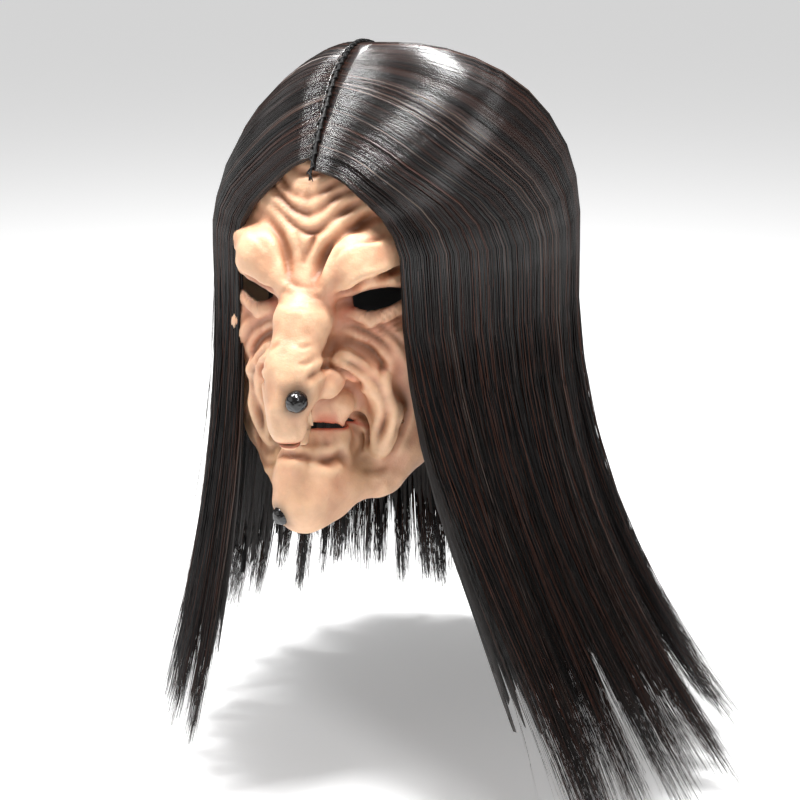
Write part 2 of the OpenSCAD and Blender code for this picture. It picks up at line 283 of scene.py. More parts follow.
def mesh_arrays(mesh):
    points = np.zeros(len(mesh.vertices) * 3)
    mesh.vertices.foreach_get("co", points)
    return points.reshape(-1, 3)


# ---------------------------------------------------------------- latex face


def smooth_union(a, b, k):
    h = clamp01(0.5 + 0.5 * (b - a) / k)
    return mix(b, a, h) - k * h * (1 - h)


def smooth_cut(a, b, k):
    return -smooth_union(-a, b, k)


def ball(p, centre, radius):
    return np.linalg.norm(p - np.array(centre, float), axis=1) - radius


def stick(p, a, ra, b, rb):
    a, b = np.array(a, float), np.array(b, float)
    way = b - a
    t = clamp01(((p - a) @ way) / (way @ way))
    return np.linalg.norm(p - a - t[:, None] * way, axis=1) - mix(ra, rb, t)


def ellipsoid(p, centre, radii):
    q = p - np.array(centre, float)
    r = np.array(radii, float)
    k0 = np.linalg.norm(q / r, axis=1)
    k1 = np.linalg.norm(q / (r * r), axis=1)
    return k0 * (k0 - 1) / np.maximum(k1, 1e-9)


def chain(p, spots, k=4.0):
    total = None
    for (a, ra), (b, rb) in zip(spots, spots[1:]):
        d = stick(p, a, ra, b, rb)
        total = d if total is None else smooth_union(total, d, k)
    return total


NOSE = [((0, -90, 9), 11), ((0, -107, -14), 14), ((0, -122, -36), 13.8), ((0, -129.5, -53), 10.8),
        ((0, -130, -65), 8.2), ((0, -128, -71), 6.8)]
CHIN = [((0, -90, -92), 19), ((0, -106, -108), 18), ((0, -111, -117), 15.5)]
CHIN_UNDER = [((0, -109, -116), 16), ((0, -92, -115), 20), ((0, -72, -112), 22)]
BROW = [((12, -99, 6), 8.5), ((28, -93, 18.5), 13), ((47, -76, 28), 7.5)]
LOWER_LID = [((18, -93, -7.5), 3.2), ((34, -91, -12), 3.8), ((50, -80, -6.5), 3.2)]
UPPER_LID = [((17, -94, 0.5), 2.4), ((34, -92, 6), 2.8), ((50, -81, 8), 2.6)]
FOLD = [((21, -100, -35), 6), ((34, -88, -50), 7), ((38, -80, -70), 7), ((33, -80, -90), 6)]
CHEEK = [((41, -73, -28), 13.5), ((46, -60, -46), 13)]
JOWL = [((50, -56, -66), 12), ((44, -58, -92), 12), ((28, -66, -110), 15), ((12, -90, -110), 15)]


def face_distance(p):
    """Signed distance, in millimetres, to the latex's outer face before its wrinkles."""
    q = p.copy()
    q[:, 0] = np.abs(q[:, 0])
    d = ellipsoid(q, (0, 0, 0), SKIN)
    d = smooth_union(d, stick(q, (29, -52, -30), 25, (30, -44, -88), 26), 22)
    d = smooth_union(d, stick(q, (30, -44, -88), 26, (0, -62, -106), 26), 22)
    d = smooth_union(d, chain(q, CHEEK), 9)
    d = smooth_union(d, chain(q, JOWL), 12)
    d = smooth_cut(d, ellipsoid(q, (31, -103, -4), (19, 14, 9)), 6)
    d = smooth_union(d, chain(q, CHIN, 6), 9)
    d = smooth_union(d, chain(q, CHIN_UNDER, 6), 8)
    d = smooth_union(d, stick(q, (0, -86, -44), 16, (0, -122, -46), 13), 8)
    d = smooth_union(d, chain(q, BROW, 6), 5)
    d = smooth_union(d, chain(q, NOSE, 6), 7)
    d = smooth_union(d, chain(q, FOLD), 6)
    d = smooth_union(d, ellipsoid(q, (12.5, -103, -46.5), (8.2, 11.5, 9)), 3)
    d = smooth_cut(d, ellipsoid(q, (10, -108, -57.5), (3.5, 6, 3)), 3)
    d = smooth_union(d, chain(q, LOWER_LID, 3), 3.5)
    d = smooth_union(d, chain(q, UPPER_LID, 3), 3.5)
    d = smooth_union(d, stick(q, (0, -96, -62), 9.5, (14, -91, -64), 8), 6)
    d = smooth_union(d, stick(q, (0, -98, -69), 4, (17, -90, -73), 3), 4)
    d = smooth_union(d, stick(q, (0, -97, -80), 7, (13, -91, -82), 6), 5)
    return d


def slope(p, step=0.25):
    base = face_distance(p)
    grad = np.empty_like(p)
    for axis in range(3):
        moved = p.copy()
        moved[:, axis] += step
        grad[:, axis] = (face_distance(moved) - base) / step
    return base, grad


def onto_face(p, rounds=4):
    for _ in range(rounds):
        base, grad = slope(p)
        p = p - (base / np.maximum((grad**2).sum(1), 0.2))[:, None] * grad
    return p


def front_points(flat):
    """Points (x, z) of the front view, put on the face by marching from the front."""
    flat = np.array(flat, float)
    p = np.column_stack([flat[:, 0], np.full(len(flat), -150.0), flat[:, 1]])
    for _ in range(40):
        p[:, 1] += 0.8 * np.maximum(face_distance(p), 0)
    return p


def fine_curve(flat, count=22):
    """A smooth curve through a few front-view points."""
    flat = np.array(flat, float)
    knots = np.arange(len(flat))
    at = np.linspace(0, len(flat) - 1, count)
    padded = np.vstack([2 * flat[0] - flat[1], flat, 2 * flat[-1] - flat[-2]])
    out = []
    for t in at:
        i = min(int(t), len(knots) - 2)
        f = t - i
        p0, p1, p2, p3 = padded[i:i + 4]
        out.append(0.5 * (2 * p1 + (p2 - p0) * f + (2 * p0 - 5 * p1 + 4 * p2 - p3) * f * f
                          + (3 * p1 - p0 - 3 * p2 + p3) * f**3))
    return np.array(out)


def arc(centre, radius, start, end, squeeze=1.0):
    angles = np.radians(np.linspace(start, end, 5))
    return [(centre[0] + radius * math.cos(a), centre[1] + squeeze * radius * math.sin(a))
            for a in angles]


def wrinkles():
    """Each wrinkle as (front-view curve on the wearer's left, depth, half width)."""
    found = []
    for k, z in enumerate((42, 50.5, 57, 65.5)):
        dip = 9 - 1.6 * k
        found.append(([(0, z - dip), (8, z - dip * 0.7), (18, z + 1.5), (34, z + 5), (52, z - 1)],
                      2.1 - 0.2 * k, 2.1 - 0.1 * k))
    found.append(([(24, 50), (36, 48), (50, 50)], 1.2, 1.5))
    found.append(([(6, 4), (8.5, 16), (16, 30), (31, 40), (54, 41)], 3.2, 2.6))
    found.append(([(0, 18), (3.5, 26), (6, 36)], 1.7, 1.8))
    found.append(([(17, 21), (27, 29), (40, 33)], 1.2, 1.6))
    found.append(([(15, 2), (28, 6), (42, 13.5), (56, 20)], 2.8, 1.9))
    for k in range(4):
        found.append(([(15 + k, -9 - 2.6 * k), (30, -15.5 - 3.4 * k), (45, -11.5 - 3.2 * k),
                       (55, -5 - 3.5 * k)], 1.3 - 0.15 * k, 1.15))
    for k in range(4):
        a = math.radians(28 - 22 * k)
        start = (52, -1 - 1.8 * k)
        found.append(([start, (start[0] + 8 * math.cos(a), start[1] + 8 * math.sin(a)),
                       (start[0] + 17 * math.cos(a), start[1] + 17 * math.sin(a) - 3)], 1.0, 1.2))
    for k in range(3):
        found.append(([(0, 7 - 5.5 * k), (5, 8 - 5.5 * k), (12, 11 - 7 * k)], 1.3 - 0.2 * k, 1.4))
    found.append((arc((16.5, -46), 9.6, -60, 150, 0.95), 2.6, 1.5))
    cheek_arcs = ((15.5, 5, 100), (22, -12, 96), (29.5, 8, 92), (37, -22, 72))
    for k, (radius, start, end) in enumerate(cheek_arcs):
        found.append((arc((16, -47), radius, start, end, 1.06), 2.2 - 0.3 * k, 2.0 + 0.1 * k))
    found.append(([(28, -40), (35, -49), (39.5, -62), (38, -78), (33, -96)], 2.6, 2.2))
    found.append(([(42, -52), (47, -68), (44, -86), (37, -102)], 1.5, 2.0))
    found.append(([(54, -34), (60, -48), (58, -66), (51, -84)], 1.3, 1.9))
    found.append(([(18, -73.5), (24, -76.5), (28.5, -84), (28.5, -97)], 3.2, 2.0))
    found.append(([(22, -84), (24, -91), (22, -99)], 1.2, 1.6))
    found.append(([(0, -88.5), (9, -89.5), (17, -93), (21, -101)], 2.4, 2.3))
    found.append(([(25, -103), (34, -106), (43, -102)], 1.2, 1.8))
    for k in range(4):
        x = 4 + 4.4 * k
        found.append(([(x, -58 - 0.5 * k), (x + 0.7, -64), (x + 0.3, -70)], 0.6, 0.9))
        found.append(([(x, -76), (x + 0.4, -80), (x + 0.8, -86)], 0.6, 0.9))
    for k in range(4):
        found.append(([(37 + 6 * k, -26 - 3 * k), (43 + 6 * k, -33 - 3 * k),
                       (46 + 6 * k, -42 - 3 * k)], 0.7, 1.2))
    for k in range(3):
        found.append(([(5 + 4 * k, -20 - 9 * k), (9 + 3 * k, -23 - 8 * k),
                       (14 + 2 * k, -24 - 7 * k)], 0.8, 1.3))
    return found


def near_curve(p, curve):
    """Distance from points to a curve, and how far along it from 0 to 1 they are."""
    best = np.full(len(p), 1e9)
    along = np.zeros(len(p))
    for i in range(len(curve) - 1):
        a, way = curve[i], curve[i + 1] - curve[i]
        t = clamp01(((p - a) @ way) / max(way @ way, 1e-9))
        d = np.linalg.norm(p - a - t[:, None] * way, axis=1)
        closer = d < best
        best[closer] = d[closer]
        along[closer] = (i + t[closer]) / (len(curve) - 1)
    return best, along


def wrinkle_height(p):
    """The wrinkles' height over the face, in millimetres, and the depth of their creases from 0 to 1."""
    warped = p + np.column_stack([ripple(p, 46, s) for s in (11, 12, 13)]) * 2.8
    uneven = np.clip(0.9 + 0.45 * ripple(p, 24, 14), 0.35, 1.4)
    swelling = np.zeros(len(p))
    cut = np.zeros(len(p))
    crease = np.zeros(len(p))
    for side in (1, -1):
        for flat, depth, half in wrinkles():
            line = fine_curve(flat)
            curve = front_points(line)
            curve[:, 0] *= side
            low, high = curve.min(0) - 5 * half, curve.max(0) + 5 * half
            here = np.nonzero(((warped > low) & (warped < high)).all(1))[0]
            if not len(here):
                continue
            d, along = near_curve(warped[here], curve)
            starts_in_middle = flat[0][0] == 0
            ends = smooth((1 - along) * 4) * (1 if starts_in_middle else smooth(along * 4))
            groove = np.exp(-((d / half) ** 2)) * ends
            swell = np.exp(-(((d - 2.3 * half) / (1.3 * half)) ** 2)) * ends
            local = depth * uneven[here]
            swelling[here] = np.maximum(swelling[here], 0.5 * local * swell)
            cut[here] = np.maximum(cut[here], local * groove)
            crease[here] = np.maximum(crease[here], groove * min(1, depth / 1.6))
    return swelling * (1 - crease) - cut, crease


def eye_level(p):
    """Below 1 inside an eye opening, which is an almond that leans down to the nose."""
    x = (np.abs(p[:, 0]) - 36) / 14
    z = p[:, 2] + 1.2 - 1.8 * x
    tall = np.where(z > 0, 5.6, 6.4) * (1 - 0.25 * x * x)
    return x * x + (z / tall) ** 2


def mouth_level(p):
    """Below 1 inside the slit between the lips, which droops to its corners."""
    x = p[:, 0]
    z = p[:, 2] + 73.5 + 0.008 * x * x
    return (x / 18.5) ** 2 + (z / 1.5) ** 2


# The latex's colour: its airbrushed paint, plus painted shade that darkens hollows and creases and painted
# highlight that lightens bulges and raised ridges.
def paint_and_shade(p, crease, height, hollow):
    base = linear(188, 140, 111)
    colour = np.tile(base, (len(p), 1))
    q = p.copy()
    q[:, 0] = np.abs(q[:, 0])

    def tint_and_shade(rgb, amount):
        amount = clamp01(amount)[:, None]
        colour[:] = colour * (1 - amount) + linear(*rgb) * amount

    def near(centre, reach):
        return np.exp(-(np.linalg.norm((q - np.array(centre, float)) / reach, axis=1) ** 2))

    patchy = 0.5 + 0.5 * ripple(p, 34, 5)
    tint_and_shade((208, 140, 104), 0.6 * near((34, -86, 4), (26, 30, 17)) + 0.25 * near((34, -84, 30), (30, 30, 20)))
    tint_and_shade((172, 80, 60), 0.9 * near((31, -90, -6), (22, 16, 10)))
    tint_and_shade((214, 138, 108), 0.55 * near((36, -84, -40), (20, 22, 22)))
    tint_and_shade((204, 122, 92), 0.6 * near((27, -100, -44), (8, 14, 14)))
    tint_and_shade((218, 168, 130), 0.35 * patchy * near((0, -96, 40), (60, 40, 26)))
    tint_and_shade((204, 112, 88), 0.9 * near((5, -97, -73), (19, 12, 6)))
    tint_and_shade((214, 158, 126), 0.4 * patchy * near((50, -60, -70), (22, 30, 40)))
    tint_and_shade((176, 128, 98), 0.6 * near((0, -132, -30), (14, 24, 40)) + 0.3 * near((0, -122, -112), (20, 14, 20)))
    # Painted shade: broad hollows darkened to a reddish brown.
    tint_and_shade((186, 118, 84), 0.45 * clamp01(hollow[1] / 1.4))
    # This line and the next darken the creases, partly the mask's airbrushed brown wash and partly painted
    # shade; the fine hollows darkened here are painted shade.
    tint_and_shade((140, 92, 62), 0.7 * crease**1.3 + 0.45 * clamp01(hollow[0] / 0.3))
    tint_and_shade((104, 62, 42), 0.55 * crease**3)
    # Painted highlight: bulges lightened, at the coarse and the fine scale.
    tint_and_shade((232, 196, 160), 0.35 * clamp01(-hollow[1] / 1.5) + 0.2 * clamp01(-hollow[0] / 0.3))
    tint_and_shade((138, 112, 76), 0.45 * near((27, -88, -90), (9, 12, 16)) + 0.25 * near((24, -92, -104), (16, 12, 8)))
    # Painted highlight: raised wrinkle ridges lightened.
    tint_and_shade((234, 198, 162), 0.25 * clamp01(height / 1.2))
    for spot, reach in ((NOSE_WART, 9.5), (CHIN_WART, 8.5)):
        d = np.linalg.norm(p - np.array(spot), axis=1)
        tint_and_shade((86, 66, 48), 0.85 * np.exp(-((d / reach) ** 4)))
    tint_and_shade((116, 66, 50), 0.8 * np.exp(-(((eye_level(p) - 1) / 0.55) ** 2)) * (p[:, 1] < -60))
    tint_and_shade((168, 62, 40), 0.85 * np.exp(-(((mouth_level(p) - 1) / 1.2) ** 2)) * (p[:, 1] < -60))
    return colour


def link_grid(mesh_faces, count):
    """For each vertex, the mean of its neighbours: a function of a per-vertex array."""
    edges = np.vstack([mesh_faces[:, [i, (i + 1) % mesh_faces.shape[1]]]
                       for i in range(mesh_faces.shape[1])])
    weight = np.zeros(count)
    np.add.at(weight, edges[:, 0], 1)
    np.add.at(weight, edges[:, 1], 1)

    def mean(values):
        total = np.zeros_like(values)
        for axis in range(values.shape[1]):
            total[:, axis] = (np.bincount(edges[:, 0], values[edges[:, 1], axis], count)
                              + np.bincount(edges[:, 1], values[edges[:, 0], axis], count))
        return total / np.maximum(weight, 1)[:, None]

    return mean


def blank_head(voxel):
    """An even quad mesh round the face's forms, in millimetres."""
    made = bmesh.new()

    def blob(centre, radii):
        shape = bmesh.ops.create_icosphere(made, subdivisions=3, radius=1.0)
        for v in shape["verts"]:
            v.co = Vector([c + r * k for c, r, k in zip(centre, radii, v.co)])

    def filled(centre, r):
        """A ball, and two behind it that leave no tunnel between it and the head."""
        for back in (0, 8, 16):
            share = 1 - back / math.hypot(centre[0], centre[1])
            blob((centre[0] * share, centre[1] * share, centre[2]), (r, r, r))

    blob((0, 0, 0), SKIN)
    for side in (1, -1):
        for spots in (NOSE, CHIN, CHIN_UNDER, BROW, FOLD, CHEEK, JOWL):
            for (a, ra), (b, rb) in zip(spots, spots[1:]):
                for t in (0, 0.25, 0.5, 0.75, 1):
                    r = mix(ra, rb, t)
                    c = [mix(i, j, t) for i, j in zip(a, b)]
                    filled((c[0] * side, c[1], c[2]), r)
        for centre, r in (((29, -52, -30), 25), ((30, -48, -60), 25), ((30, -44, -88), 26),
                          ((15, -53, -97), 26), ((0, -62, -106), 26), ((0, -95, -45), 16),
                          ((0, -110, -45), 14), ((16, -103, -46), 9.5), ((8, -94, -63), 9),
                          ((8, -94, -81), 7)):
            filled((centre[0] * side, centre[1], centre[2]), r)
    mesh = bpy.data.meshes.new("blank")
    made.to_mesh(mesh)
    made.free()
    holder = bpy.data.objects.new("blank", mesh)
    bpy.context.scene.collection.objects.link(holder)
    remesh = holder.modifiers.new("Remesh", "REMESH")
    remesh.mode = "VOXEL"
    remesh.voxel_size = voxel
    evaluated = holder.evaluated_get(bpy.context.evaluated_depsgraph_get())
    result = evaluated.to_mesh()
    points = mesh_arrays(result)
    faces = np.zeros(len(result.polygons) * 4, np.int32)
    result.polygons.foreach_get("vertices", faces)
    evaluated.to_mesh_clear()
    bpy.data.objects.remove(holder)
    return points, faces.reshape(-1, 4)


def beyond_edge(p):
    """How far each point lies behind the latex's seam or jaw edge in the side view, in millimetres."""
    worst = np.full(len(p), -1e9)
    for (y0, z0), (y1, z1) in ((SEAM_TOP, EAR), (EAR, JAW_END)):
        length = math.hypot(y1 - y0, z1 - z0)
        across = ((p[:, 1] - y0) * (z0 - z1) + (p[:, 2] - z0) * (y1 - y0)) / length
        worst = np.maximum(worst, across)
    return worst


def keep_faces(points, faces, wanted):
    faces = faces[wanted]
    used = np.unique(faces)
    renumber = np.full(len(points), -1)
    renumber[used] = np.arange(len(used))
    return points[used], renumber[faces]


def outermost(points, faces):
    """Only the mesh's connected part that reaches furthest forward, without the voids inside."""
    label = np.arange(len(points))
    while True:
        lowest = label[faces].min(1)
        spread_out = label.copy()
        for i in range(faces.shape[1]):
            np.minimum.at(spread_out, faces[:, i], lowest)
        spread_out = spread_out[spread_out]
        if (spread_out == label).all():
            break
        label = spread_out
    front = label[points[:, 1].argmin()]
    return keep_faces(points, faces, label[faces[:, 0]] == front)


def as_triangles(faces):
    return np.vstack([faces[:, [0, 1, 2]], faces[:, [0, 2, 3]]])


def trim(points, faces, level, where):
    """Cuts away what lies below level 0, a distance in millimetres, and moves the cut edge onto it."""
    step = 0.05
    value = level(points)
    grad = np.stack([(level(points + step * axis) - value) / step for axis in np.eye(3)], axis=1)
    steep = (grad**2).sum(1)
    far = ~where | (steep < 1e-6)
    value = np.where(far, 99.0, value / np.sqrt(np.maximum(steep, 1e-6)))
    edges = np.vstack([faces[:, [i, (i + 1) % 3]] for i in range(3)])
    a, b = value[edges[:, 0]], value[edges[:, 1]]
    crossing = (a * b < 0) & (np.minimum(np.abs(a), np.abs(b)) < 3)
    near_one = np.where(np.abs(a) < np.abs(b), edges[:, 0], edges[:, 1])[crossing]
    snapped = np.unique(near_one)
    points = points.copy()
    points[snapped] -= (value[snapped] / np.sqrt(steep[snapped]))[:, None] * grad[snapped]
    value[snapped] = 0
    total = value[faces]
    middle = level(points[faces].mean(1))
    inside = (total <= 0).all(1) & ((total < 0).any(1) | (middle < 0))
    return keep_faces(points, faces, ~inside)


def rim_edges(faces):
    """The mesh's open edges, in the winding of the faces they belong to."""
    edges = np.vstack([faces[:, [i, (i + 1) % 3]] for i in range(3)])
    key = np.sort(edges, axis=1)
    code = key[:, 0].astype(np.int64) * (faces.max() + 1) + key[:, 1]
    _, index, count = np.unique(code, return_index=True, return_counts=True)
    return edges[index[count == 1]]


def vertex_normals(points, faces):
    a, b, c = (points[faces[:, i]] for i in range(3))
    n = np.cross(b - a, c - a)
    total = np.zeros_like(points)
    for i in range(3):
        for axis in range(3):
            total[:, axis] += np.bincount(faces[:, i], n[:, axis], len(points))
    return total / np.maximum(np.linalg.norm(total, axis=1), 1e-12)[:, None]


def build_face(settings):
    points, faces = outermost(*blank_head(settings.face_detail / MM))
    points, faces = keep_faces(points, faces, (beyond_edge(points) < 12)[faces].all(1))
    points = onto_face(points)
    mean = link_grid(faces, len(points))
    for _ in range(8):
        points = onto_face(mix(points, mean(points), 0.7), 1)
    faces = as_triangles(faces)
    everywhere = np.ones(len(points), bool)
    points, faces = trim(points, faces, lambda p: -beyond_edge(p), everywhere)
    points, faces = trim(points, faces, lambda p: eye_level(p) - 1, points[:, 1] < -60)
    points, faces = trim(points, faces, lambda p: mouth_level(p) - 1, points[:, 1] < -60)
    inner_rim = np.unique(rim_edges(faces))
    height, crease = wrinkle_height(points)
    away = 0.1 + 0.9 * smooth((-points[:, 1] - 50) / 26)
    away[inner_rim] *= 0.3
    _, grad = slope(points)
    normal = grad / np.linalg.norm(grad, axis=1)[:, None]
    rough = 0.3 * ripple(points, 11, 31)
    lumps = 0.7 * ripple(points, 26, 33)
    covered = 2.4 * smooth((points[:, 1] + 76) / 26)
    raised = (settings.wrinkle_depth * height + rough + lumps) * away - covered
    shaped = points + normal * raised[:, None]
    mean = link_grid(faces, len(points))
    shaped = mix(shaped, mean(shaped), 0.25)
    normal = vertex_normals(shaped, faces)
    # How deep each point lies in a hollow, at a fine and a coarse scale; the colour uses this for painted
    # shade in hollows and painted highlight on bulges.
    hollow = []
    softer = shaped
    for rounds in (5, 22):
        for _ in range(rounds):
            softer = mean(softer)
        depth = ((softer - shaped) * normal).sum(1)[:, None]
        for _ in range(4):
            depth = mean(depth)
        hollow.append(depth[:, 0])
    colour = paint_and_shade(shaped, crease, height, hollow)
    inward = normal.copy()
    for _ in range(6):
        inward = mean(inward)
    inward /= np.linalg.norm(inward, axis=1)[:, None]
    thickness = settings.latex_thickness / MM
    count = len(shaped)
    rim = rim_edges(faces)
    vertices = np.vstack([shaped, shaped - inward * thickness])
    walls = as_triangles(np.column_stack([rim[:, 1], rim[:, 0], rim[:, 0] + count, rim[:, 1] + count]))
    all_faces = np.vstack([faces, faces[:, ::-1] + count, walls])
    made = mesh_object("latex_face", vertices * MM, all_faces, latex_material())
    layer = made.data.color_attributes.new("Paint", "FLOAT_COLOR", "POINT")
    inner = np.tile(linear(214, 178, 146), (count, 1))
    rgba = np.ones((2 * count, 4))
    rgba[:, :3] = np.vstack([colour, inner])
    layer.data.foreach_set("color", rgba.astype(np.float32).ravel())
    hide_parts("face_shell")
    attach(made, "root")
    return made


def build_wart(name, place, radius, node):
    made = bmesh.new()
    bmesh.ops.create_icosphere(made, subdivisions=5, radius=1.0)
    mesh = bpy.data.meshes.new(name)
    made.to_mesh(mesh)
    made.free()
    unit = mesh_arrays(mesh)
    lumpy = 1 + 0.035 * ripple(unit, 0.9, 7) + 0.012 * ripple(unit, 0.3, 8)
    mesh.vertices.foreach_set("co", ((np.array(place) + unit * lumpy[:, None] * radius) * MM).ravel())
    for polygon in mesh.polygons:
        polygon.use_smooth = True
    wart = bpy.data.objects.new(name, mesh)
    bpy.context.scene.collection.objects.link(wart)
    mesh.materials.append(plain_material(name, (0.006, 0.005, 0.005), 0.16, 0.6, (600, 0.0003)))
    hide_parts(node)
    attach(wart, "root")
    return wart


# ---------------------------------------------------------------- hair

HINGE_ANGLES = (-66, -24, 14, 45, 76, 104, 135, 190, 240)
TIP_ANGLES = (-37, -4, 20, 45, 76, 104, 135, 192, 232)
SIDES = {"left": (-66, 45), "back": (45, 135), "right": (135, 240)}


def part_half(y):
    return mix(PARTING_GAP / 2, 0.4, smooth((y - 25) / 40))


def drift(y):
    return -PARTING_DRIFT * clamp01((y + 70) / 80)


def crown_point(u, v, w, inset, side):
    """A point of the crown hair in the direction (u, v, w) of a unit dome."""
    h = clamp01(w)
    flat = np.sqrt(u * u + v * v)
    cosine, sine = u / np.maximum(flat, 1e-9), v / np.maximum(flat, 1e-9)
    boxy = np.where(side > 0, LEFT_ROUND, RIGHT_ROUND)
    across = np.maximum(1 - h**boxy, 0) ** (1 / boxy)
    along = np.sqrt(np.maximum(1 - h * h, 0))
    z = HINGE_Z + (HAIR_TOP - inset - HINGE_Z) * h
    deep = np.where(v < 0, HAIR_FRONT + 4 * smooth((z - HINGE_Z) / 25), HAIR_BACK) - inset
    y = HAIR_MID_Y + deep * along * sine
    half = np.where(side > 0, HAIR_LEFT, HAIR_RIGHT) - inset
    x = (side * part_half(y) + (half - part_half(y)) * across * cosine
         + drift(y) * (1 - np.abs(cosine) * across) ** 3)
    return np.stack([x, y, z], axis=-1)


def spread(angle, share):
    lean = np.maximum(0, np.cos(np.radians(angle - SWEEP_ANGLE))) ** 2
    return (FLARE + SWEEP * lean) * share**2


def lock_thickness(angle, share):
    in_front = np.degrees(np.arcsin(-np.sin(np.radians(angle))))
    full = mix(3.5, 8 + 18 * np.maximum(0, np.cos(np.radians(angle))), clamp01((60 - in_front) / 80))
    return mix(full, np.minimum(full, 10), share)


def lock_drop(angle):
    return mix(RIGHT_DROP, HAIR_DROP, clamp01(np.cos(np.radians(angle)) + 0.5))


def lock_point(angle, share, inset, outward):
    radians = np.radians(angle)
    out = spread(angle, share) - inset + outward
    half = np.where(np.cos(radians) > 0, HAIR_LEFT, HAIR_RIGHT)
    deep = np.where(np.sin(radians) < 0, HAIR_FRONT, HAIR_BACK)
    z = mix(HINGE_Z, -lock_drop(angle), share)
    return np.stack([(half + out) * np.cos(radians), HAIR_MID_Y + (deep + out) * np.sin(radians), z],
                    axis=-1)


def root_tilt(angle):
    """Where on the parting a strand starts: degrees round the dome from the front, by its angle below."""
    mirrored = np.where(angle > 90, 180 - angle, angle)
    return np.interp(mirrored, (-66, -48, -20, 20, 60, 90), (29, 40, 60, 84, 106, 122))


CROWN_STEPS = np.array([0, 0.03, 0.07, 0.12, 0.19, 0.27, 0.36, 0.46, 0.56, 0.67, 0.78, 0.89])
FALL_STEPS = np.array([0, 0.1, 0.22, 0.35, 0.48, 0.61, 0.74, 0.87, 1.0])


def strand_paths(angle, layer, rng, stray, clump=None):
    """Paths of strands, as (strands, steps, 3) in millimetres, from the parting over the crown and down."""
    count = len(angle)
    side = np.where(angle < 90, 1.0, -1.0)[:, None]
    tilt = np.radians(root_tilt(angle))[:, None]
    a = np.radians(angle)[:, None]
    start = np.stack([0 * tilt, -np.cos(tilt), np.sin(tilt)], -1)
    end = np.stack([np.cos(a), np.sin(a), 0 * a], -1)
    reach = np.arccos(np.clip((start * end).sum(-1), -1, 1))[..., None]
    t = CROWN_STEPS[None, :, None]
    way = (np.sin((1 - t) * reach) * start + np.sin(t * reach) * end) / np.sin(reach)
    in_front = np.degrees(np.arcsin(-np.sin(a)))
    way[..., 2] += 0.14 * np.sin(CROWN_STEPS * math.pi)[None, :] * smooth((in_front - 15) / 45)
    way /= np.linalg.norm(way, axis=2)[..., None]
    heading = np.arctan2(way[..., 1], way[..., 0])
    turn_left = (a - heading + math.pi) % (2 * math.pi) - math.pi
    heading += turn_left * smooth((CROWN_STEPS - 0.45) / 0.55)[None, :]
    flat = np.hypot(way[..., 0], way[..., 1])
    u, v, w = flat * np.cos(heading), flat * np.sin(heading), way[..., 2]
    depth = layer * 4.0
    rise = 1.5 * (1 - smooth(CROWN_STEPS / 0.16))[None, :]
    wave = rng.normal(0, 0.35, (count, 1)) * np.sin(CROWN_STEPS * math.pi)[None, :]
    crown = crown_point(u, v, w, depth[:, None] * smooth(CROWN_STEPS / 0.12)[None, :] + rise + wave, side)
    turn, lift, length = stray
    if clump is not None:
        length = length * clump[3]
    s = FALL_STEPS[None, :] * length[:, None]
    tip = np.interp(angle, HINGE_ANGLES, TIP_ANGLES)[:, None]
    fall_angle = mix(angle[:, None], tip, smooth(s))
    outward = lift[:, None] * s
    if clump is not None:
        pull, clump_tip, clump_out, _ = clump
        fall_angle = mix(fall_angle, clump_tip[:, None], pull[:, None] * s**1.7)
        outward = outward + clump_out[:, None] * s**1.3
    wander = rng.normal(0, 0.45, (count, 1)) * np.sin(s * rng.uniform(4, 9, (count, 1)))
    fall_angle += turn[:, None] * s**1.5 + wander * smooth(s * 3)
    thick = lock_thickness(fall_angle, s)
    inset = np.minimum(layer[:, None] * thick, thick - 0.8)
    inset = mix(depth[:, None] + 0 * inset, inset, smooth(s * 6))
    fall = lock_point(fall_angle, s, inset, outward)
    return np.concatenate([crown, fall], axis=1)


